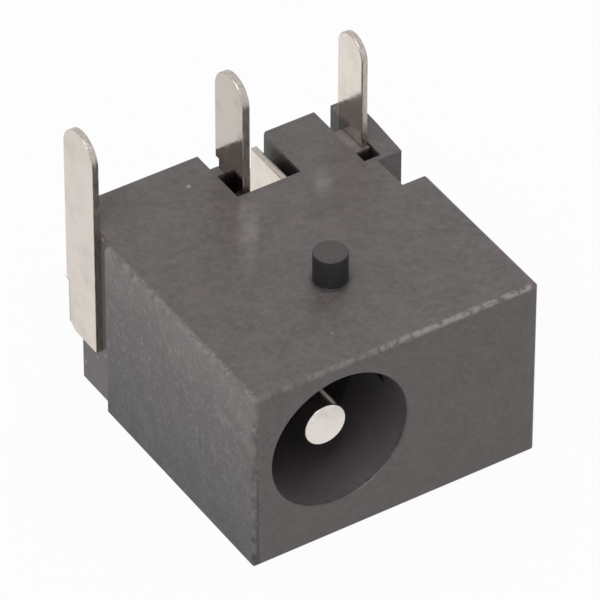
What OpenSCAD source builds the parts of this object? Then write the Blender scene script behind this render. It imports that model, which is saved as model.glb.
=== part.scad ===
// Board-mount barrel power jack with an off-centre socket, drawn with its board side up.
// Origin: socket axis at the mouth face. +X right, +Y into the socket, +Z to the board side.
// Five separate pieces: moulded housing, centre pin, pin terminal, sleeve contact, switch contact.

/* [Housing] */
// Width of the housing across the mouth face
body_w = 13.8; // [13.4:0.1:15]
// Length of the housing from the mouth face to the rear face
body_d = 14.6; // [14.3:0.1:17]
// Height of the housing from the closed face to the board face
body_h = 9.0; // [8:0.1:10]
// Distance of the socket axis from the left flank
axis_side = 4.2; // [4.1:0.05:4.4]
// Depth of the socket axis below the board face
axis_down = 4.0; // [3.95:0.05:4.4]
// How much shorter the block and the right wall are than the left part
rear_set = 0.2; // [0.1:0.05:0.4]
// Chamfer on the outer edges
edge = 0.12; // [0.05:0.01:0.2]

/* [Socket] */
// Diameter of the socket bore
bore_d = 6.5; // [6.2:0.1:6.7]
// Depth of the socket bore
bore_depth = 9.6; // [8.5:0.1:9.8]
// Length of the full round mouth ahead of the spring channel
mouth_land = 1.8; // [1.2:0.1:2.2]
// Chamfer on the rim of the mouth
mouth_edge = 0.07; // [0.04:0.01:0.12]

/* [Centre pin] */
// Diameter of the free part of the centre pin
pin_d = 2.0; // [1.6:0.1:2.2]
// How far the pin end sits behind the mouth face
pin_recess = 1.1; // [0.6:0.1:2]
// Rounding of the pin end
pin_round = 0.1; // [0.05:0.05:0.3]
// Diameter of the shank pressed through the housing
shank_d = 1.5; // [1.2:0.1:1.6]
// Diameter of the rivet head behind the terminal
rivet_d = 2.1; // [1.8:0.1:2.6]
// Height of the rivet head
rivet_h = 0.3; // [0.2:0.05:0.5]

/* [Locating peg] */
// Diameter of the locating peg
peg_d = 1.5; // [1.2:0.1:2]
// Height of the locating peg
peg_h = 1.4; // [0.8:0.1:2]
// Distance of the peg axis behind the mouth face
peg_back = 4.85; // [3:0.05:6]
// Distance of the peg axis from the left flank
peg_side = 6.8; // [5:0.1:8]

/* [Left recess] */
// Length of the recess for the left tab, up to the rear face
recess_len = 3.15; // [2.8:0.05:4]
// Depth of that recess
recess_deep = 0.4; // [0.3:0.05:0.5]
// Chamfer on the rear left corner that the terminal bends around
corner = 0.55; // [0.4:0.05:0.8]

/* [Right notch] */
// Distance of the notch behind the mouth face
notch_from = 8.35; // [7:0.05:8.4]
// Length of the notch along the flank
notch_len = 1.9; // [1:0.05:2]
// Depth of the notch
notch_deep = 1.2; // [0.6:0.05:1.3]
// How far the right wall behind the notch stands out at its rear end
flare = 0.25; // [0:0.05:0.3]

/* [Rear slots] */
// Distance of the middle slot from the left flank
slot_side = 6.4; // [6.3:0.05:6.5]
// Width of the middle slot
slot_w = 3.1; // [3:0.05:3.2]
// Depth of both slots below the board face
slot_deep = 5.6; // [4.5:0.1:6.2]
// Distance of the middle slot behind the mouth face
slot_from = 11.35; // [11.2:0.05:11.5]
// Width of the block between the slots
block_w = 2.6; // [2.3:0.05:2.7]
// Width of the rib between the block and the right tab
rib_w = 0.4; // [0.3:0.05:0.5]
// Distance of the right slot behind the mouth face
gap_from = 10.5; // [10.45:0.05:10.7]
// Thickness of the roof over the switch chamber
roof = 0.6; // [0.4:0.05:0.65]

/* [Solder tabs] */
// Width of the left tab
left_w = 2.3; // [1.8:0.05:2.5]
// Width of the middle tab
mid_w = 2.2; // [1.8:0.05:2.3]
// Width of the right tab
right_w = 1.85; // [1.6:0.05:2]
// Height of the left tab above the board face
left_up = 4.5; // [3:0.1:6]
// Height of the middle tab above the board face
mid_up = 5.3; // [3:0.1:6.5]
// Height of the right tab above the board face
right_up = 5.3; // [3:0.1:6.5]
// How far the left tab reaches below the socket axis
left_down = 2.45; // [2:0.05:3]

/* [Sheet metal] */
// Thickness of the pin terminal
terminal_t = 0.3; // [0.2:0.05:0.35]
// Thickness of the sleeve contact
leaf_t = 0.35; // [0.25:0.05:0.4]
// Thickness of the switch contact
clip_t = 0.3; // [0.2:0.05:0.35]
// Width of the spring arm beside the socket
arm_w = 1.6; // [1.2:0.1:1.7]
// Height of the arm's lower edge above the socket axis
arm_low = 0.4; // [0.2:0.05:0.5]
// How far the arm tip sits behind the mouth face
arm_tip = 3.1; // [2.3:0.1:3.5]
// How far the contact bump stands out from the arm towards the axis
bump = 0.45; // [0.3:0.05:0.6]

/* [Hidden] */
$fn = 64;
xl = -axis_side;
xr = xl + body_w;
zt = axis_down;
zb = zt - body_h;
yr = body_d;
yb = body_d - rear_set;
recess_from = yr - recess_len;
xs = xl + slot_side;
xp = xs + slot_w;
xg = xp + block_w;
zf = zt - slot_deep;
zroof = zt - roof;
bend = 0.15;
pocket = 0.05;
easy = 0.1;
web = 0.5;
rib_hook = 0.2;

// sleeve contact: tab face, front edge of the tab, crest of the bump, channel beside the socket
tab_x = xs + 0.4;
tab_y = slot_from + 0.2;
crest_y = arm_tip + 1;
room_x = tab_x + leaf_t + 1;
notch_up = zt + 0.35;

// switch contact: plate in the middle slot, leg in the right slot, finger that reaches over the arm to its inner face
leg_x = xg + rib_w;
leg_y = gap_from + 0.85;
gap_w = rib_w + clip_t + easy;
plate_x = xp - 0.35 - clip_t;
plate_top = zt - 0.45;
base_top = zt - 1.9;
finger_y = bore_depth + web + easy;
finger_end = slot_from - 0.15;
finger_z = arm_low + arm_w + 0.25;
finger_low = arm_low + 0.3;
clip_y = yb + clip_t;

// pin terminal: plate in the rear pocket, tab in the left recess
term_x = xl + recess_deep - terminal_t;
term_y = yr - pocket + terminal_t;
term_low = 0.25 - left_down;
term_top = rivet_d / 2 + 0.4;
term_neck = term_low + 2.25;
term_w = rivet_d / 2 + 0.4;
term_bend = 0.05;
set_in = 0.1;

// a profile in X and Z, drawn out from one Y to another
module along_y(from, to) {
  translate([0, to, 0])
  rotate([90, 0, 0])
  linear_extrude(to - from)
  children();
}

// a profile in Y and Z, drawn out from one X to another
module along_x(from, to) {
  translate([from, 0, 0])
  rotate([90, 0, 90])
  linear_extrude(to - from)
  children();
}

// a profile in X and Y, drawn out from one Z to another
module along_z(from, to) {
  translate([0, 0, from])
  linear_extrude(to - from)
  children();
}

// rectangle between two corners
module rect(a, b) {
  translate(a)
  square([b[0] - a[0], b[1] - a[1]]);
}

// box between two corners
module box(a, b) {
  translate(a)
  cube([b[0] - a[0], b[1] - a[1], b[2] - a[2]]);
}

// rectangle with its four corners cut
module cut_rect(a, b, c) {
  polygon([
    [a[0] + c, a[1]], [b[0] - c, a[1]], [b[0], a[1] + c], [b[0], b[1] - c],
    [b[0] - c, b[1]], [a[0] + c, b[1]], [a[0], b[1] - c], [a[0], a[1] + c]
  ]);
}

// quarter of a bent sheet, turned so that it opens from angle a to a + 90 about its bend centre
module quarter(centre, inner, t, a) {
  translate(centre)
  rotate(a)
  intersection() {
    difference() {
      circle(inner + t);
      circle(inner);
    }
    square(inner + t);
  }
}

// solder tab outline in Y and Z with a fully round end
module tab_outline(y0, z0, w, top) {
  rect([y0, z0], [y0 + w, top - w / 2]);
  translate([y0 + w / 2, top - w / 2])
  circle(w / 2);
}

// outline of the housing seen from the board side
module plan() {
  polygon([
    [xl + edge, 0], [xr - edge, 0], [xr, edge],
    [xr, notch_from], [xr - notch_deep, notch_from],
    [xr - notch_deep, notch_from + notch_len], [xr, notch_from + notch_len],
    [xr + flare, yb - edge], [xr + flare - edge, yb], [xs, yb], [xs, yr],
    [xl + recess_deep + corner, yr], [xl + recess_deep, yr - corner],
    [xl + recess_deep, recess_from], [xl, recess_from], [xl, edge]
  ]);
}

// outer shape of the housing with its edges cut
module blank() {
  intersection() {
    along_z(zb, zt) plan();
    union() {
      along_y(0, notch_from + notch_len / 2) cut_rect([xl, zb], [xr, zt], edge);
      along_y(notch_from, yr) cut_rect([xl, zb], [xr + flare, zt], edge);
    }
    along_x(xl, xr + flare) cut_rect([0, zb], [yr, zt], edge);
  }
}

// rooms inside the housing for the spring arm and the switch finger
module spring_rooms() {
  box([tab_x - easy, mouth_land, arm_low - easy], [room_x, slot_from + 0.1, arm_low + arm_w + easy]);
  box([xs, finger_y - easy, finger_low - easy], [plate_x + clip_t + 0.15, slot_from + 0.1, zroof]);
}

module housing() {
  color([0.17, 0.16, 0.16])
  union() {
    difference() {
      blank();
      translate([0, -1, 0]) rotate([-90, 0, 0]) cylinder(h = bore_depth + 1, d = bore_d);
      rotate([-90, 0, 0]) cylinder(h = mouth_edge, d1 = bore_d + 2 * mouth_edge, d2 = bore_d);
      translate([0, 1, 0]) rotate([-90, 0, 0]) cylinder(h = yr, d = shank_d);
      box([xs, slot_from, zf], [xp, yr + 1, zt + 1]);
      box([xg, gap_from, zf], [xg + gap_w, yr + 1, zt + 1]);
      box([xl - 1, yr - pocket, term_low - easy], [term_w + easy, yr + 1, term_top + easy]);
      spring_rooms();
      // rear left corner of the block, clear of the clip's bend
      along_z(zf, zt + 1) polygon([[xp - 0.1, yb], [xp - 0.1, yb - bend], [xp, yb - bend], [xp + bend, yb], [xp + bend, yb + 1], [xp - 0.1, yb + 1]]);
    }
    // rib that the middle tab leans on
    box([xs - 0.2, tab_y + mid_w - 0.8, zroof - 0.75], [tab_x, tab_y + mid_w - 0.25, zt]);
    // rib beside the right tab, hooked round its front edge
    along_z(zf - 0.1, zt) polygon([
      [xg - 0.2, leg_y - rib_hook], [leg_x + clip_t, leg_y - rib_hook], [leg_x + clip_t, leg_y],
      [leg_x, leg_y], [leg_x, leg_y + right_w - 0.4], [xg - 0.2, leg_y + right_w - 0.4]
    ]);
    // locating peg
    translate([xl + peg_side, peg_back, zt - 0.2]) cylinder(h = peg_h + 0.2, d = peg_d);
  }
}

// half of the centre pin's outline: rounded end, free part, shank
module pin_half() {
  r = pin_d / 2;
  c = pin_round;
  free = bore_depth - pin_recess;
  foot = term_y - pin_recess + rivet_h / 2;
  polygon(concat(
    [[0, 0]],
    [for (i = [0 : 6]) [r - c + c * sin(15 * i), c - c * cos(15 * i)]],
    [[r, free], [shank_d / 2, free], [shank_d / 2, foot], [0, foot]]
  ));
}

module centre_pin() {
  color([0.8, 0.78, 0.75])
  translate([0, pin_recess, 0])
  rotate([-90, 0, 0])
  union() {
    rotate_extrude() pin_half();
    translate([0, 0, term_y - pin_recess]) cylinder(h = rivet_h, d1 = rivet_d, d2 = rivet_d - rivet_h);
  }
}

module pin_terminal() {
  color([0.82, 0.8, 0.77])
  difference() {
    union() {
      // tab, cut back where the sheet bends away and at its lower rear corner
      difference() {
        along_x(term_x, term_x + terminal_t) tab_outline(term_y - set_in - left_w, -left_down, left_w, zt + left_up);
        along_x(term_x - 1, term_x + 1) polygon([
          [term_y + 1, term_neck], [term_y - terminal_t - term_bend, term_neck],
          [term_y - terminal_t - term_bend, term_low],
          [term_y - terminal_t - term_bend - 0.4, -left_down], [term_y - 1, -left_down - 1],
          [term_y + 1, -left_down - 1]
        ]);
      }
      // bend round the rear corner, neck and the plate under the rivet
      along_z(term_low, term_neck) union() {
        quarter([term_x + terminal_t + term_bend, term_y - terminal_t - term_bend], term_bend, terminal_t, 90);
        rect([term_x + terminal_t + term_bend, term_y - terminal_t], [term_w, term_y]);
      }
      box([-term_w - 0.6, term_y - terminal_t, term_low], [term_w, term_y, term_top]);
    }
    rotate([-90, 0, 0]) cylinder(h = yr + 2, d = shank_d);
  }
}

// inner face of the spring arm in X and Y, from its root to its tip
arm_line = concat(
  [[tab_x, tab_y + 0.3]],
  [for (i = [0 : 8]) [tab_x - bump * (1 - cos(180 * i / 8)) / 2, crest_y + 1.6 - 1.6 * i / 8]],
  [for (i = [1 : 8]) [tab_x - bump + (bump + 0.4) * pow(i / 8, 1.15), crest_y - i / 8]]
);

// a point of that face moved out by the thickness of the sheet
function outer(i) =
  let (n = len(arm_line) - 1)
  let (d = arm_line[min(i + 1, n)] - arm_line[max(i - 1, 0)])
  arm_line[i] + leaf_t * [-d[1], d[0]] / norm(d);

module arm_top_view() {
  n = len(arm_line) - 1;
  polygon(concat(arm_line, [for (i = [n : -1 : 0]) outer(i)]));
}

module sleeve_contact() {
  color([0.82, 0.8, 0.77])
  union() {
    // plate and solder tab, narrower below a step on the rear edge
    difference() {
      along_x(tab_x, tab_x + leaf_t) tab_outline(tab_y, zf, mid_w, zt + mid_up);
      box([tab_x - 1, tab_y + mid_w - 0.25, zf - 1], [tab_x + 1, tab_y + mid_w + 1, notch_up]);
    }
    along_z(arm_low, arm_low + arm_w) arm_top_view();
  }
}

module switch_contact() {
  color([0.82, 0.8, 0.77])
  union() {
    // clip round the block: plate, lower base and leg
    along_x(plate_x, plate_x + clip_t) rect([slot_from + 0.1, zf], [clip_y - clip_t - bend, plate_top]);
    along_z(zf, base_top) union() {
      rect([plate_x, slot_from + 0.1], [plate_x + clip_t, clip_y - clip_t - bend]);
      quarter([plate_x + clip_t + bend, clip_y - clip_t - bend], bend, clip_t, 90);
      rect([plate_x + clip_t + bend, clip_y - clip_t], [leg_x - bend, clip_y]);
      quarter([leg_x - bend, clip_y - clip_t - bend], bend, clip_t, 0);
      rect([leg_x, leg_y], [leg_x + clip_t, clip_y - clip_t - bend]);
    }
    // solder tab rising from the leg
    along_x(leg_x, leg_x + clip_t) tab_outline(leg_y, zf, right_w, zt + right_up);
    // finger that crosses above the spring arm and rests on its inner face
    along_y(finger_y, finger_end) union() {
      rect([plate_x, finger_z + clip_t + bend], [plate_x + clip_t, zroof - easy]);
      quarter([plate_x - bend, finger_z + clip_t + bend], bend, clip_t, 270);
      rect([tab_x + bend, finger_z], [plate_x - bend, finger_z + clip_t]);
      quarter([tab_x + bend, finger_z - bend], bend, clip_t, 90);
      rect([tab_x - clip_t, finger_low], [tab_x, finger_z - bend]);
    }
    box([plate_x, finger_end - 0.1, finger_z + clip_t + bend], [plate_x + clip_t, slot_from + 0.2, zroof - easy]);
  }
}

housing();
centre_pin();
pin_terminal();
sleeve_contact();
switch_contact();
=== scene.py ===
import math

import bmesh
import bpy
from bpy.props import FloatProperty, FloatVectorProperty, PointerProperty
from mathutils import Matrix, Vector


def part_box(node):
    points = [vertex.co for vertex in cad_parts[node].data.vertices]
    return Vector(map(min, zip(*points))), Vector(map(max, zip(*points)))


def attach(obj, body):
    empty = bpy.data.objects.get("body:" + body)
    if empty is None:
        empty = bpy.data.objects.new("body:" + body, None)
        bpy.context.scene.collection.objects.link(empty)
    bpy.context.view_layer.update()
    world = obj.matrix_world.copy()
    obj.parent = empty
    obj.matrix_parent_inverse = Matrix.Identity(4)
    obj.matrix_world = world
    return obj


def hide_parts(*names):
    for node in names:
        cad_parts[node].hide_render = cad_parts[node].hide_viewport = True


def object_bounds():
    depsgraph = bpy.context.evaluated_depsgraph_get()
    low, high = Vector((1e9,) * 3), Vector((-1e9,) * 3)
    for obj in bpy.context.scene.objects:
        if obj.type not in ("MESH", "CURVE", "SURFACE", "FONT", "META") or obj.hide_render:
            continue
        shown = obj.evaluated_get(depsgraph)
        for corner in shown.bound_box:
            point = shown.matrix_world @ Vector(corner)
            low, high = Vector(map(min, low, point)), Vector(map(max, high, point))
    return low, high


bl_info = {
    "name": "Barrel Power Jack",
    "version": (1, 0, 0),
    "blender": (4, 5, 0),
    "location": "View3D > Sidebar > Power Jack",
    "description": "Dresses the packed solids of a board-mount barrel power jack",
    "category": "Object",
}

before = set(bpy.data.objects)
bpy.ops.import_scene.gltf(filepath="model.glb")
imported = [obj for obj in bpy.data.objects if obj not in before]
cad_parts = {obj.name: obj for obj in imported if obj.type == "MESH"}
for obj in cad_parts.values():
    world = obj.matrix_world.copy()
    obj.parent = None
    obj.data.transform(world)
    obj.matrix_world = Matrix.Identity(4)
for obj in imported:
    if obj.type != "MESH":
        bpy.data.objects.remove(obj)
CAD_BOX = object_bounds()
MM = 0.001

SHARP_EDGE = 28.0            # degrees between faces, past which an edge is rounded
PIN_ROUND = 0.02 * MM
TIGHT_BEND = 0.4             # share of the rounding that the pin terminal's small bend allows
CUT_FACE = 0.28 * MM         # stamped faces narrower than this are sheared edges
# lighter and darker copies of one plating, one for each contact: painted light and shade
LIT_AND_SHADED_PLATING = (("pin_terminal", 1.0), ("sleeve_contact", 0.8), ("switch_contact", 1.12))
PEG_FROM_LEFT = 0.0068       # the peg's place, from the housing's left side and from its front
PEG_FROM_FRONT = 0.00485
MIDDLE_SLOT_X, MIDDLE_SLOT_FRONT = (0.00215, 0.00535), (0.0112, 0.0114)
RIGHT_SLOT_X, RIGHT_SLOT_FRONT = (0.00785, 0.00875), (0.0103, 0.0105)
SOFT = 0.00002               # softness at the sides of the slots
FLOOR_RADIUS = 0.9
PAPER_GLOW = 0.94            # how far the paper shows as plain white
WORLD_FILL = 0.75            # strength of the world's light on the object
LAMP_PLACE, LAMP_SIZE, LAMP_POWER = (-0.22, -0.16, 0.55), 0.45, 2.2


# ---------------------------------------------------------------- node helpers

def feed(tree, node, name, value):
    """Links a socket to a node's input, or sets the input to a plain value."""
    if isinstance(value, bpy.types.NodeSocket):
        tree.links.new(value, node.inputs[name])
    else:
        node.inputs[name].default_value = value


def add(tree, kind, feeds=None, **settings):
    """A new node with its settings and its inputs."""
    node = tree.nodes.new(kind)
    for key, value in settings.items():
        setattr(node, key, value)
    for name, value in (feeds or {}).items():
        feed(tree, node, name, value)
    return node


def maths(tree, operation, *values, clamp=False):
    node = add(tree, "ShaderNodeMath", operation=operation, use_clamp=clamp)
    for i, value in enumerate(values):
        feed(tree, node, i, value)
    return node.outputs[0]


def vectors(tree, operation, *values):
    node = add(tree, "ShaderNodeVectorMath", operation=operation)
    for i, value in enumerate(values):
        feed(tree, node, i, value)
    return node.outputs["Value"] if operation in {"LENGTH", "DOT_PRODUCT"} else node.outputs[0]


def remap(tree, value, low, high, to_low=0.0, to_high=1.0, smooth=True):
    node = add(tree, "ShaderNodeMapRange", interpolation_type="SMOOTHSTEP" if smooth else "LINEAR", clamp=True)
    for name, part in (("Value", value), ("From Min", low), ("From Max", high), ("To Min", to_low), ("To Max", to_high)):
        feed(tree, node, name, part)
    return node.outputs["Result"]


def blend_colour(tree, factor, first, second, mode="MIX"):
    node = add(tree, "ShaderNodeMix", data_type="RGBA", blend_type=mode)
    feed(tree, node, "Factor", factor)
    sockets = [s for s in node.inputs if s.type == "RGBA"]
    for socket, value in zip(sockets, (first, second)):
        if isinstance(value, bpy.types.NodeSocket):
            tree.links.new(value, socket)
        else:
            socket.default_value = value
    return next(s for s in node.outputs if s.type == "RGBA")


def noise(tree, where, scale, detail=4.0, rough=0.55, stretch=None):
    if stretch is not None:
        where = vectors(tree, "MULTIPLY", where, stretch)
    node = add(tree, "ShaderNodeTexNoise", {"Vector": where, "Scale": scale, "Detail": detail, "Roughness": rough})
    return node.outputs[0]


def shader_group(name, inputs, outputs):
    """An empty shader node group with its named sockets: (tree, group input, group output), or the finished one."""
    tree = bpy.data.node_groups.get(name)
    if tree:
        return tree, None, None
    tree = bpy.data.node_groups.new(name, "ShaderNodeTree")
    for label, kind, default in inputs:
        socket = tree.interface.new_socket(label, in_out="INPUT", socket_type=kind)
        if default is not None:
            socket.default_value = default
    for label, kind in outputs:
        tree.interface.new_socket(label, in_out="OUTPUT", socket_type=kind)
    return tree, tree.nodes.new("NodeGroupInput"), tree.nodes.new("NodeGroupOutput")


def use_group(tree, group, feeds):
    return add(tree, "ShaderNodeGroup", feeds, node_tree=group)


# ---------------------------------------------------------------- shared effects

def moulded_grain():
    """Fine grain of a moulded surface: a height and a slow mottle."""
    tree, start, end = shader_group(
        "Moulded grain",
        [("Vector", "NodeSocketVector", None), ("Grain", "NodeSocketFloat", 5000.0), ("Mottle", "NodeSocketFloat", 700.0)],
        [("Height", "NodeSocketFloat"), ("Mottle", "NodeSocketFloat")])
    if start:
        where = start.outputs["Vector"]
        fine = noise(tree, where, start.outputs["Grain"], 5.0, 0.6)
        flow = noise(tree, where, maths(tree, "MULTIPLY", start.outputs["Grain"], 0.22), 3.0, 0.5)
        height = maths(tree, "MULTIPLY_ADD", flow, 0.8, fine)
        feed(tree, end, "Height", height)
        slow = noise(tree, where, start.outputs["Mottle"], 6.0, 0.62)
        feed(tree, end, "Mottle", remap(tree, slow, 0.3, 0.7))
    return tree


def scattered_specks():
    """Small round specks, a share of them kept, as a mask."""
    tree, start, end = shader_group(
        "Scattered specks",
        [("Vector", "NodeSocketVector", None), ("Spacing", "NodeSocketFloat", 1500.0),
         ("Radius", "NodeSocketFloat", 0.12), ("Share", "NodeSocketFloat", 0.2)],
        [("Mask", "NodeSocketFloat")])
    if start:
        cells = add(tree, "ShaderNodeTexVoronoi", {"Vector": start.outputs["Vector"], "Scale": start.outputs["Spacing"]})
        split = add(tree, "ShaderNodeSeparateColor", {"Color": cells.outputs["Color"]})
        size = maths(tree, "MULTIPLY", start.outputs["Radius"], maths(tree, "ADD", split.outputs[1], 0.3))
        near = remap(tree, cells.outputs["Distance"], maths(tree, "MULTIPLY", size, 0.5), size, 1.0, 0.0)
        kept = maths(tree, "LESS_THAN", split.outputs[0], start.outputs["Share"])
        feed(tree, end, "Mask", maths(tree, "MULTIPLY", near, kept))
    return tree


def patch_mask():
    """A soft patch about a centre, broken up by noise, as a mask."""
    tree, start, end = shader_group(
        "Patch mask",
        [("Vector", "NodeSocketVector", None), ("Centre", "NodeSocketVector", None), ("Reach", "NodeSocketVector", None),
         ("Turn", "NodeSocketFloat", 0.0), ("Breakup", "NodeSocketFloat", 900.0)],
        [("Mask", "NodeSocketFloat")])
    if start:
        away = vectors(tree, "SUBTRACT", start.outputs["Vector"], start.outputs["Centre"])
        turned = add(tree, "ShaderNodeVectorRotate", {"Vector": away, "Angle": start.outputs["Turn"]},
                     rotation_type="Z_AXIS")
        away = vectors(tree, "DIVIDE", turned.outputs[0], start.outputs["Reach"])
        near = remap(tree, vectors(tree, "LENGTH", away), 0.15, 1.0, 1.0, 0.0)
        torn = remap(tree, noise(tree, start.outputs["Vector"], start.outputs["Breakup"], 7.0, 0.7), 0.34, 0.66)
        feed(tree, end, "Mask", maths(tree, "MULTIPLY", near, maths(tree, "MULTIPLY_ADD", torn, 0.75, 0.25)))
    return tree


def edge_band():
    """A band along a straight edge that runs along X, as a mask about the line at (Y, Z): for worn edges and for a
    painted highlight.
    """
    tree, start, end = shader_group(
        "Edge band",
        [("Vector", "NodeSocketVector", None), ("Y", "NodeSocketFloat", 0.0), ("Z", "NodeSocketFloat", 0.0),
         ("Width", "NodeSocketFloat", 0.0002), ("Breakup", "NodeSocketFloat", 2500.0)],
        [("Mask", "NodeSocketFloat")])
    if start:
        parts = add(tree, "ShaderNodeSeparateXYZ", {"Vector": start.outputs["Vector"]})
        dy = maths(tree, "SUBTRACT", parts.outputs["Y"], start.outputs["Y"])
        dz = maths(tree, "SUBTRACT", parts.outputs["Z"], start.outputs["Z"])
        away = maths(tree, "SQRT", maths(tree, "ADD", maths(tree, "MULTIPLY", dy, dy), maths(tree, "MULTIPLY", dz, dz)))
        near = remap(tree, away, maths(tree, "MULTIPLY", start.outputs["Width"], 0.35), start.outputs["Width"], 1.0, 0.0)
        torn = remap(tree, noise(tree, start.outputs["Vector"], start.outputs["Breakup"], 5.0, 0.65), 0.36, 0.6)
        feed(tree, end, "Mask", maths(tree, "MULTIPLY", near, torn))
    return tree


def span(tree, value, low, high, soft):
    """1 where a value lies between two limits, with soft ends."""
    up = remap(tree, value, low - soft, low + soft)
    down = remap(tree, value, high - soft, high + soft, 1.0, 0.0)
    return maths(tree, "MULTIPLY", up, down)


def socket_and_shade_masks():
    """Masks for the socket, which handling never reaches, and for painted shade: the peg's side with a painted shadow
    about its foot, and the rear slots.
    """
    tree, start, end = shader_group(
        "Socket and shade masks",
        [("Vector", "NodeSocketVector", None), ("Bore radius", "NodeSocketFloat", 0.00325),
         ("Peg", "NodeSocketVector", None), ("Peg radius", "NodeSocketFloat", 0.00075),
         ("Board face", "NodeSocketFloat", 0.004)],
        [("Bore", "NodeSocketFloat"), ("Peg", "NodeSocketFloat"), ("Slots", "NodeSocketFloat")])
    if start:
        where = start.outputs["Vector"]
        parts = add(tree, "ShaderNodeSeparateXYZ", {"Vector": where})
        x, y, z = (parts.outputs[axis] for axis in "XYZ")
        round_y = vectors(tree, "LENGTH", vectors(tree, "MULTIPLY", where, (1.0, 0.0, 1.0)))
        in_bore = maths(tree, "LESS_THAN", round_y, maths(tree, "ADD", start.outputs["Bore radius"], 0.00003))
        feed(tree, end, "Bore", maths(tree, "MULTIPLY", in_bore, remap(tree, y, 0.00004, 0.0004)))
        # painted shade on the peg's side above the board face, and a painted shadow about its foot
        away = vectors(tree, "SUBTRACT", where, start.outputs["Peg"])
        away = vectors(tree, "LENGTH", vectors(tree, "MULTIPLY", away, (1.0, 1.0, 0.0)))
        away = maths(tree, "DIVIDE", away, start.outputs["Peg radius"])
        side = span(tree, away, 0.93, 1.12, 0.03)
        above = maths(tree, "GREATER_THAN", z, start.outputs["Board face"])
        root = remap(tree, away, 1.0, 1.35, 0.6, 0.0)
        feed(tree, end, "Peg", maths(tree, "MAXIMUM", maths(tree, "MULTIPLY", side, above), root))
        # painted shade in the rear slots, below the board face
        below = remap(tree, maths(tree, "SUBTRACT", start.outputs["Board face"], z), 0.00003, 0.00025)
        middle = maths(tree, "MULTIPLY", span(tree, x, *MIDDLE_SLOT_X, SOFT), remap(tree, y, *MIDDLE_SLOT_FRONT))
        right = maths(tree, "MULTIPLY", span(tree, x, *RIGHT_SLOT_X, SOFT), remap(tree, y, *RIGHT_SLOT_FRONT))
        feed(tree, end, "Slots", maths(tree, "MULTIPLY", maths(tree, "MAXIMUM", middle, right), below))
    return tree


def rub_marks():
    """Curling rub marks, as worms of noise, as a mask."""
    tree, start, end = shader_group(
        "Rub marks",
        [("Vector", "NodeSocketVector", None), ("Size", "NodeSocketFloat", 1100.0), ("Sharpness", "NodeSocketFloat", 0.1)],
        [("Mask", "NodeSocketFloat")])
    if start:
        where = start.outputs["Vector"]
        field = noise(tree, where, start.outputs["Size"], 3.0, 0.55)
        ridge = maths(tree, "ABSOLUTE", maths(tree, "SUBTRACT", field, 0.5))
        line = remap(tree, ridge, 0.0, start.outputs["Sharpness"], 1.0, 0.0)
        finer = maths(tree, "MULTIPLY", start.outputs["Size"], 2.7)
        torn = remap(tree, noise(tree, where, finer, 3.0, 0.5), 0.4, 0.65)
        feed(tree, end, "Mask", maths(tree, "MULTIPLY", line, torn))
    return tree


def plated_skin():
    """Handling marks on plated metal: streaks, stains and pits."""
    tree, start, end = shader_group(
        "Plated skin",
        [("Vector", "NodeSocketVector", None), ("Stretch", "NodeSocketVector", None), ("Streaks", "NodeSocketFloat", 2500.0)],
        [("Height", "NodeSocketFloat"), ("Streak", "NodeSocketFloat"), ("Stain", "NodeSocketFloat")])
    if start:
        where = start.outputs["Vector"]
        along = vectors(tree, "MULTIPLY", where, start.outputs["Stretch"])
        streak = noise(tree, along, start.outputs["Streaks"], 5.0, 0.6)
        stain = noise(tree, where, maths(tree, "MULTIPLY", start.outputs["Streaks"], 0.28), 6.0, 0.65)
        dents = noise(tree, where, maths(tree, "MULTIPLY", start.outputs["Streaks"], 0.16), 2.0, 0.4)
        feed(tree, end, "Height", maths(tree, "MULTIPLY_ADD", dents, 3.0, maths(tree, "MULTIPLY", streak, 0.35)))
        feed(tree, end, "Streak", remap(tree, streak, 0.3, 0.7))
        feed(tree, end, "Stain", remap(tree, stain, 0.42, 0.72))
    return tree


# ---------------------------------------------------------------- materials

def new_material(name):
    """A fresh node material, as (material, tree, Principled BSDF, object coordinates)."""
    material = bpy.data.materials.new(name)
    material.use_nodes = True
    tree = material.node_tree
    tree.nodes.clear()
    shader = tree.nodes.new("ShaderNodeBsdfPrincipled")
    end = tree.nodes.new("ShaderNodeOutputMaterial")
    tree.links.new(shader.outputs[0], end.inputs["Surface"])
    where = tree.nodes.new("ShaderNodeTexCoord").outputs["Object"]
    return material, tree, shader, where


def tone(colour, factor=1.0):
    return (*[min(1.0, c * factor) for c in colour], 1.0)


def bump(tree, shader, height, distance, strength=1.0):
    node = add(tree, "ShaderNodeBump", {"Height": height, "Strength": strength, "Distance": distance})
    tree.links.new(node.outputs["Normal"], shader.inputs["Normal"])


# Centre, reach, turn and strength of each painted reflection of a tab on the board face and each rubbed spot on the
# left flank, in millimetres and degrees.
REFLECTIONS_AND_RUBS = (((1.35, 9.15, 4.0), (0.66, 2.9, 0.5), 32.5, 0.9),
          ((1.9, 10.3, 4.0), (0.45, 1.2, 0.5), 32.5, 1.0),
          ((5.75, 10.3, 4.0), (0.55, 1.3, 0.5), 32.5, 0.8),
          ((8.6, 13.2, 4.0), (0.45, 0.8, 0.5), 0.0, 0.8),
          ((8.05, 12.0, 4.0), (0.35, 1.3, 0.5), 0.0, 1.0),
          ((-4.2, 2.3, 1.5), (0.4, 1.0, 0.45), 0.0, 0.8),
          ((-4.2, 0.55, 1.6), (0.4, 0.5, 0.5), 0.0, 0.6),
          ((-4.2, 1.0, 2.6), (0.4, 1.3, 0.9), 0.0, 0.5),
          ((-4.2, 5.2, 2.2), (0.4, 2.4, 0.9), 0.0, 0.35))


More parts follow.
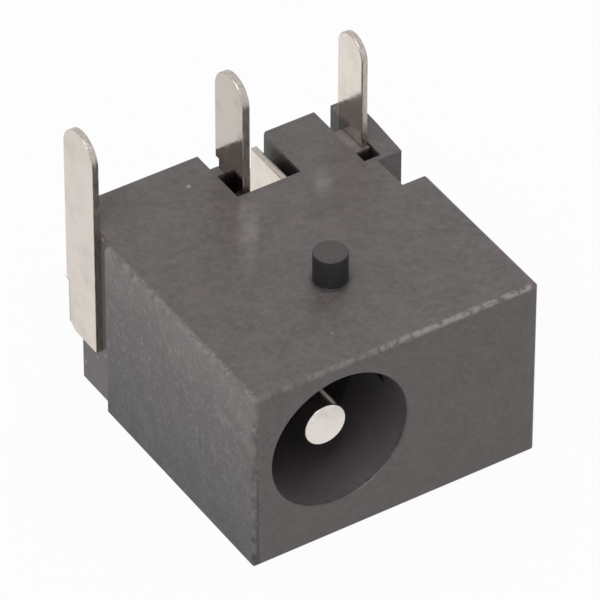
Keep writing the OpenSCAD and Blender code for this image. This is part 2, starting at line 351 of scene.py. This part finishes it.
def black_plastic(s):
    """Moulded black plastic, greyed where it is handled, with rub marks, specks and worn edges, and with painted light
    and shade: reflections of the tabs, a highlight on the front left upright, and shade low on the left flank, on the
    peg and in the rear slots.
    """
    material, tree, shader, where = new_material("Black plastic")
    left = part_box("housing")[0].x
    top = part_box("housing")[1].z - s.peg_height
    parts = add(tree, "ShaderNodeSeparateXYZ", {"Vector": where})
    x, y, z = (parts.outputs[axis] for axis in "XYZ")
    grain = use_group(tree, moulded_grain(), {"Vector": where, "Grain": s.grain, "Mottle": 900.0})
    mottle = grain.outputs["Mottle"]
    base = blend_colour(tree, mottle, tone(s.plastic, 0.8), tone(s.plastic, 1.2))
    blotch = remap(tree, noise(tree, where, 3200.0, 4.0, 0.62), 0.3, 0.7)
    base = blend_colour(tree, maths(tree, "MULTIPLY", blotch, 0.5), base, tone(s.plastic, 1.6))

    # left flank: painted shade, darker towards the bottom, and painted light, paler towards the board face, with
    # curling rub marks
    flank = maths(tree, "LESS_THAN", x, left + 0.0003)
    wave = noise(tree, where, 420.0, 3.0, 0.55)
    height = maths(tree, "MULTIPLY_ADD", wave, 0.0022, maths(tree, "SUBTRACT", z, 0.0011))
    low = remap(tree, height, -0.0050, 0.0034, smooth=False)
    shade = blend_colour(tree, low, tone((0.2, 0.2, 0.21)), tone((1.0, 1.0, 1.0)))
    pale = remap(tree, height, 0.0016, 0.0042)
    shaded = blend_colour(tree, 1.0, base, shade, "MULTIPLY")
    shaded = blend_colour(tree, maths(tree, "MULTIPLY", pale, 0.10), shaded, tone(s.dust_and_sheen))
    base = blend_colour(tree, flank, base, shaded)
    marks = use_group(tree, rub_marks(), {"Vector": where, "Size": 1500.0, "Sharpness": 0.07}).outputs["Mask"]
    marks = maths(tree, "MULTIPLY", marks, maths(tree, "MULTIPLY_ADD", flank, 0.17, 0.05))
    marks = maths(tree, "MULTIPLY", marks, remap(tree, z, -0.005, 0.002, 0.35, 1.0))
    base = blend_colour(tree, marks, base, tone(s.dust_and_sheen))

    # painted reflections of the tabs on the board face, and rubbed spots on the left flank
    patches = None
    for centre, reach, turn, strength in REFLECTIONS_AND_RUBS:
        spot = use_group(tree, patch_mask(), {
            "Vector": where, "Centre": [c * MM for c in centre], "Reach": [r * MM for r in reach],
            "Turn": math.radians(turn), "Breakup": 1500.0}).outputs["Mask"]
        spot = maths(tree, "MULTIPLY", spot, strength)
        patches = spot if patches is None else maths(tree, "MAXIMUM", patches, spot)
    base = blend_colour(tree, maths(tree, "MULTIPLY", patches, s.sheen_and_rub), base, tone(s.dust_and_sheen))

    # worn edges: the front edge of the board face, stronger to the right, and its left edge; a painted highlight along
    # the front left upright
    edge = use_group(tree, edge_band(), {"Vector": where, "Y": 0.0, "Z": top, "Width": 0.00026}).outputs["Mask"]
    edge = maths(tree, "MULTIPLY", edge, remap(tree, x, -0.002, 0.005, 0.35, 1.0))
    beside = maths(tree, "SUBTRACT", x, left)
    along = add(tree, "ShaderNodeCombineXYZ", {"X": y, "Y": beside, "Z": z}).outputs[0]
    side = use_group(tree, edge_band(), {"Vector": along, "Y": 0.0, "Z": top, "Width": 0.00024}).outputs["Mask"]
    upright = add(tree, "ShaderNodeCombineXYZ", {"X": z, "Y": beside, "Z": y}).outputs[0]
    corner = use_group(tree, edge_band(), {
        "Vector": upright, "Y": 0.0, "Z": 0.0, "Width": 0.00022, "Breakup": 1200.0}).outputs["Mask"]
    edge = maths(tree, "MAXIMUM", edge, maths(tree, "MULTIPLY", side, 0.45))
    edge = maths(tree, "MAXIMUM", edge, maths(tree, "MULTIPLY", corner, 0.55))
    base = blend_colour(tree, maths(tree, "MULTIPLY", edge, s.edge_wear_and_highlight), base, tone(s.dust_and_sheen))
    specks = use_group(tree, scattered_specks(),
                       {"Vector": where, "Spacing": 1300.0, "Radius": 0.14, "Share": 0.1}).outputs["Mask"]
    base = blend_colour(tree, maths(tree, "MULTIPLY", specks, 0.35), base, tone(s.dust_and_sheen, 1.3))

    # the socket keeps its own tone, which nothing rubs; painted shade darkens the rear slots and the peg's side, with a
    # painted shadow about the peg's foot
    peg = (left + PEG_FROM_LEFT, PEG_FROM_FRONT, 0.0)
    socket_and_shade = use_group(tree, socket_and_shade_masks(), {"Vector": where, "Peg": peg, "Board face": top})
    base = blend_colour(tree, socket_and_shade.outputs["Bore"], base, tone(s.bore))
    base = blend_colour(tree, socket_and_shade.outputs["Slots"], base, tone(s.plastic, 0.25))
    base = blend_colour(tree, socket_and_shade.outputs["Peg"], base, tone(s.plastic, 0.08))
    tree.links.new(base, shader.inputs["Base Color"])
    rough = maths(tree, "MULTIPLY_ADD", mottle, 0.1, s.plastic_rough - 0.05)
    rough = maths(tree, "MULTIPLY_ADD", patches, 0.08, rough)
    rough = maths(tree, "MULTIPLY_ADD", socket_and_shade.outputs["Bore"], 0.2, rough)
    tree.links.new(rough, shader.inputs["Roughness"])
    height = maths(tree, "MULTIPLY_ADD", specks, 0.8, grain.outputs["Height"])
    height = maths(tree, "MULTIPLY_ADD", marks, 1.5, height)
    height = maths(tree, "MULTIPLY_ADD", edge, -0.8, height)
    bump(tree, shader, height, 0.00002)
    return material


def plated_metal(name, colour, rough, stretch, dents):
    """Bright plating over formed metal."""
    material, tree, shader, where = new_material(name)
    skin = use_group(tree, plated_skin(), {"Vector": where, "Stretch": stretch, "Streaks": 2600.0})
    base = blend_colour(tree, skin.outputs["Stain"], tone(colour), tone(colour, 0.86))
    tree.links.new(base, shader.inputs["Base Color"])
    shader.inputs["Metallic"].default_value = 1.0
    value = maths(tree, "MULTIPLY_ADD", skin.outputs["Streak"], 0.07, rough - 0.03)
    value = maths(tree, "MULTIPLY_ADD", skin.outputs["Stain"], 0.08, value)
    tree.links.new(value, shader.inputs["Roughness"])
    bump(tree, shader, skin.outputs["Height"], dents)
    return material


def sheared_metal(s):
    """The cut edge of stamped sheet: duller, scored across its thickness."""
    material, tree, shader, where = new_material("Sheared edge")
    skin = use_group(tree, plated_skin(), {"Vector": where, "Stretch": (1.0, 1.0, 0.25), "Streaks": 9000.0})
    base = blend_colour(tree, skin.outputs["Streak"], tone(s.sheet, 0.55), tone(s.sheet, 0.85))
    tree.links.new(base, shader.inputs["Base Color"])
    shader.inputs["Metallic"].default_value = 1.0
    tree.links.new(maths(tree, "MULTIPLY_ADD", skin.outputs["Streak"], 0.15, 0.28), shader.inputs["Roughness"])
    bump(tree, shader, skin.outputs["Height"], 0.000006)
    return material


# ---------------------------------------------------------------- settings

class JackSettings(bpy.types.PropertyGroup):
    plastic: FloatVectorProperty(name="Plastic", description="Colour of the moulded housing", subtype="COLOR",
                                 size=3, min=0, max=1, default=(0.066, 0.0555, 0.0545))
    plastic_rough: FloatProperty(name="Plastic roughness", description="Roughness of the moulded housing", default=0.4)
    dust_and_sheen: FloatVectorProperty(name="Rubbed plastic", description="Colour of rubbed and dusty plastic", subtype="COLOR",
                              # colour of rubbed and dusty plastic, used also for the painted reflections of the tabs,
                              # the painted highlight on the front left upright and the painted light at the top of the
                              # left flank
                              size=3, min=0, max=1, default=(0.34, 0.32, 0.31))
    # strength of the painted reflections of the tabs and of the rubbed spots on the left flank
    sheen_and_rub: FloatProperty(name="Rubbing", description="Strength of the rubbed patches", default=0.3, subtype="FACTOR")
    bore: FloatVectorProperty(name="Socket wall", description="Colour of the plastic inside the socket", subtype="COLOR",
                              size=3, min=0, max=1, default=(0.075, 0.066, 0.070))
    # strength of the worn edges and of the painted highlight along the front left upright
    edge_wear_and_highlight: FloatProperty(name="Edge wear", description="Strength of the worn front edge", default=0.5, subtype="FACTOR")
    grain: FloatProperty(name="Grain", description="Grains to the metre on the plastic", default=7000.0)
    sheet: FloatVectorProperty(name="Sheet metal", description="Colour of the plated contacts", subtype="COLOR",
                               size=3, min=0, max=1, default=(0.66, 0.60, 0.54))
    pin: FloatVectorProperty(name="Pin", description="Colour of the plated pin", subtype="COLOR",
                             size=3, min=0, max=1, default=(0.74, 0.69, 0.65))
    peg_height: FloatProperty(name="Peg height", description="Height of the peg above the board face", unit="LENGTH",
                              default=1.4 * MM)
    housing_round: FloatProperty(name="Housing rounding", description="Rounding on the housing's edges", unit="LENGTH",
                                 default=0.035 * MM, precision=5)
    sheet_round: FloatProperty(name="Contact rounding", description="Rounding on the stamped edges", unit="LENGTH",
                               default=0.05 * MM, precision=5)


# ---------------------------------------------------------------- shaping

def dressed_copy(node_name, rounding, segments):
    """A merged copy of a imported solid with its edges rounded, as a bmesh."""
    work = bmesh.new()
    work.from_mesh(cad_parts[node_name].data)
    bmesh.ops.remove_doubles(work, verts=work.verts, dist=1e-7)
    bmesh.ops.dissolve_limit(work, angle_limit=math.radians(0.4), verts=work.verts, edges=work.edges)
    edges = [e for e in work.edges if len(e.link_faces) == 2 and e.calc_face_angle(0) > math.radians(SHARP_EDGE)]
    bmesh.ops.bevel(work, geom=edges, offset=rounding, offset_type="OFFSET", segments=segments, profile=0.5,
                    affect="EDGES", clamp_overlap=False)
    bmesh.ops.remove_doubles(work, verts=work.verts, dist=2e-7)
    return work


def finish_piece(work, name, node_name, materials):
    """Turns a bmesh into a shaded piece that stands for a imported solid."""
    mesh = bpy.data.meshes.new(name)
    work.to_mesh(mesh)
    work.free()
    mesh.shade_smooth()
    mesh.set_sharp_from_angle(angle=math.radians(50))
    piece = bpy.data.objects.new(name, mesh)
    bpy.context.scene.collection.objects.link(piece)
    for material in materials:
        mesh.materials.append(material)
    modifier = piece.modifiers.new("Flat faces stay flat", "WEIGHTED_NORMAL")
    modifier.keep_sharp = True
    modifier.weight = 90
    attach(piece, "root")
    if node_name:
        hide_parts(node_name)
    return piece


def thin_faces(work, limit):
    """Marks the narrow faces of stamped sheet as the second material."""
    for face in work.faces:
        longest = max(e.calc_length() for e in face.edges)
        if face.calc_area() / longest < limit:
            face.material_index = 1


# ---------------------------------------------------------------- pieces

class JACK_OT_housing(bpy.types.Operator):
    """Round the edges of the moulded housing and give it its black plastic"""
    bl_idname = "jack.housing"
    bl_label = "Housing"

    def execute(self, context):
        s = context.scene.jack
        work = dressed_copy("housing", s.housing_round, 2)
        finish_piece(work, "housing_shell", "housing", [black_plastic(s)])
        return {"FINISHED"}


class JACK_OT_centre_pin(bpy.types.Operator):
    """Give the centre pin its bright plating"""
    bl_idname = "jack.centre_pin"
    bl_label = "Centre pin"

    def execute(self, context):
        s = context.scene.jack
        work = dressed_copy("centre_pin", PIN_ROUND, 2)
        metal = plated_metal("Plated pin", s.pin, 0.16, (1.0, 0.12, 1.0), 0.000006)
        finish_piece(work, "pin_bright", "centre_pin", [metal])
        return {"FINISHED"}


class JACK_OT_contacts(bpy.types.Operator):
    """Round the stamped edges of the contacts and give them their plating"""
    bl_idname = "jack.contacts"
    bl_label = "Contacts"

    def execute(self, context):
        s = context.scene.jack
        cut = sheared_metal(s)
        # each contact's plating takes its own painted light factor
        for node_name, painted_light_factor in LIT_AND_SHADED_PLATING:
            colour = [c * painted_light_factor for c in s.sheet]
            sheet = plated_metal(node_name.replace("_", " ") + " plating", colour, 0.13, (1.0, 1.0, 0.15), 0.000009)
            rounding = TIGHT_BEND * s.sheet_round if node_name == "pin_terminal" else s.sheet_round
            work = dressed_copy(node_name, rounding, 3)
            thin_faces(work, CUT_FACE)
            finish_piece(work, node_name + "_bright", node_name, [sheet, cut])
        return {"FINISHED"}


class JACK_OT_stage(bpy.types.Operator):
    """Set the pale floor, the soft light and the camera"""
    bl_idname = "jack.stage"
    bl_label = "Stage"

    def execute(self, context):
        scene = context.scene
        low = CAD_BOX[0].z
        work = bmesh.new()
        bmesh.ops.create_circle(work, cap_ends=True, segments=96, radius=FLOOR_RADIUS)
        mesh = bpy.data.meshes.new("floor")
        work.to_mesh(mesh)
        work.free()
        mesh.transform(Matrix.Translation((0, 0, low)))
        floor = bpy.data.objects.new("floor", mesh)
        scene.collection.objects.link(floor)
        mesh.materials.append(floor_paper())
        light_world(scene)
        soft_lamp("lamp_over", LAMP_PLACE, LAMP_SIZE, LAMP_POWER)
        place_camera(scene)
        scene.view_settings.view_transform = "Standard"
        return {"FINISHED"}


def shown_rays(tree):
    """1 for rays that look at the background: straight, mirrored or through glass."""
    path = add(tree, "ShaderNodeLightPath")
    seen = maths(tree, "MAXIMUM", path.outputs["Is Camera Ray"], path.outputs["Is Glossy Ray"])
    return maths(tree, "MAXIMUM", seen, path.outputs["Is Transmission Ray"])


def floor_paper():
    """White paper that shows as white and keeps a faint shadow."""
    material, tree, shader, where = new_material("White paper")
    fibre = noise(tree, where, 900.0, 4.0, 0.5)
    base = blend_colour(tree, fibre, (0.55, 0.55, 0.55, 1), (0.6, 0.6, 0.6, 1))
    tree.links.new(base, shader.inputs["Base Color"])
    shader.inputs["Roughness"].default_value = 0.9
    shader.inputs["Specular IOR Level"].default_value = 0.0
    glow = add(tree, "ShaderNodeEmission", {"Color": (1, 1, 1, 1), "Strength": 1.0})
    mix = add(tree, "ShaderNodeMixShader", {0: maths(tree, "MULTIPLY", shown_rays(tree), PAPER_GLOW)})
    tree.links.new(shader.outputs[0], mix.inputs[1])
    tree.links.new(glow.outputs[0], mix.inputs[2])
    end = next(n for n in tree.nodes if n.type == "OUTPUT_MATERIAL")
    tree.links.new(mix.outputs[0], end.inputs["Surface"])
    return material


def light_world(scene):
    world = bpy.data.worlds.new("White room")
    scene.world = world
    world.use_nodes = True
    tree = world.node_tree
    tree.nodes.clear()
    strength = remap(tree, shown_rays(tree), 0.0, 1.0, WORLD_FILL, 1.0, smooth=False)
    back = add(tree, "ShaderNodeBackground", {"Color": (1, 1, 1, 1), "Strength": strength})
    end = tree.nodes.new("ShaderNodeOutputWorld")
    tree.links.new(back.outputs[0], end.inputs["Surface"])


def soft_lamp(name, place, size, power):
    data = bpy.data.lights.new(name, "AREA")
    data.shape = "DISK"
    data.size = size
    data.energy = power
    lamp = bpy.data.objects.new(name, data)
    lamp.location = place
    aim = Vector((0.0027, 0.006, 0.0)) - lamp.location
    lamp.rotation_euler = aim.to_track_quat("-Z", "Y").to_euler()
    bpy.context.scene.collection.objects.link(lamp)


def place_camera(scene):
    """A long lens from the front left, above, looking into the socket."""
    azimuth, elevation, roll = (math.radians(a) for a in (-32.5139, 40.0669, 0.0874))
    back = Vector((math.sin(azimuth) * math.cos(elevation), -math.cos(azimuth) * math.cos(elevation), math.sin(elevation)))
    right = Vector((0, 0, 1)).cross(back).normalized()
    up = back.cross(right)
    right, up = right * math.cos(roll) + up * math.sin(roll), up * math.cos(roll) - right * math.sin(roll)
    aim = Vector((0.0027, 0.005914, -0.000564))
    place = aim + back * 0.29593 - right * 0.000751 + up * 0.001986
    data = bpy.data.cameras.new("camera")
    data.sensor_width = 36.0
    data.lens = 429.38
    data.clip_start = 0.01
    data.clip_end = 10.0
    camera = bpy.data.objects.new("camera", data)
    turn = Matrix((right, up, back)).transposed().to_4x4()
    camera.matrix_world = Matrix.Translation(place) @ turn
    scene.collection.objects.link(camera)
    scene.camera = camera


class JACK_PT_panel(bpy.types.Panel):
    """Lists the jack's settings and pieces"""
    bl_idname = "JACK_PT_panel"
    bl_label = "Power Jack"
    bl_space_type = "VIEW_3D"
    bl_region_type = "UI"
    bl_category = "Power Jack"

    def draw(self, context):
        for name in JackSettings.__annotations__:
            self.layout.prop(context.scene.jack, name)
        for operator in OPERATORS:
            self.layout.operator(operator.bl_idname)


OPERATORS = (JACK_OT_housing, JACK_OT_centre_pin, JACK_OT_contacts, JACK_OT_stage)
CLASSES = (JackSettings, *OPERATORS, JACK_PT_panel)


def register():
    for item in CLASSES:
        bpy.utils.register_class(item)
    bpy.types.Scene.jack = PointerProperty(type=JackSettings)


def unregister():
    del bpy.types.Scene.jack
    for item in reversed(CLASSES):
        bpy.utils.unregister_class(item)


def main():
    register()
    for operator in OPERATORS:
        family, name = operator.bl_idname.split(".")
        getattr(getattr(bpy.ops, family), name)()


if __name__ == "__main__":
    main()
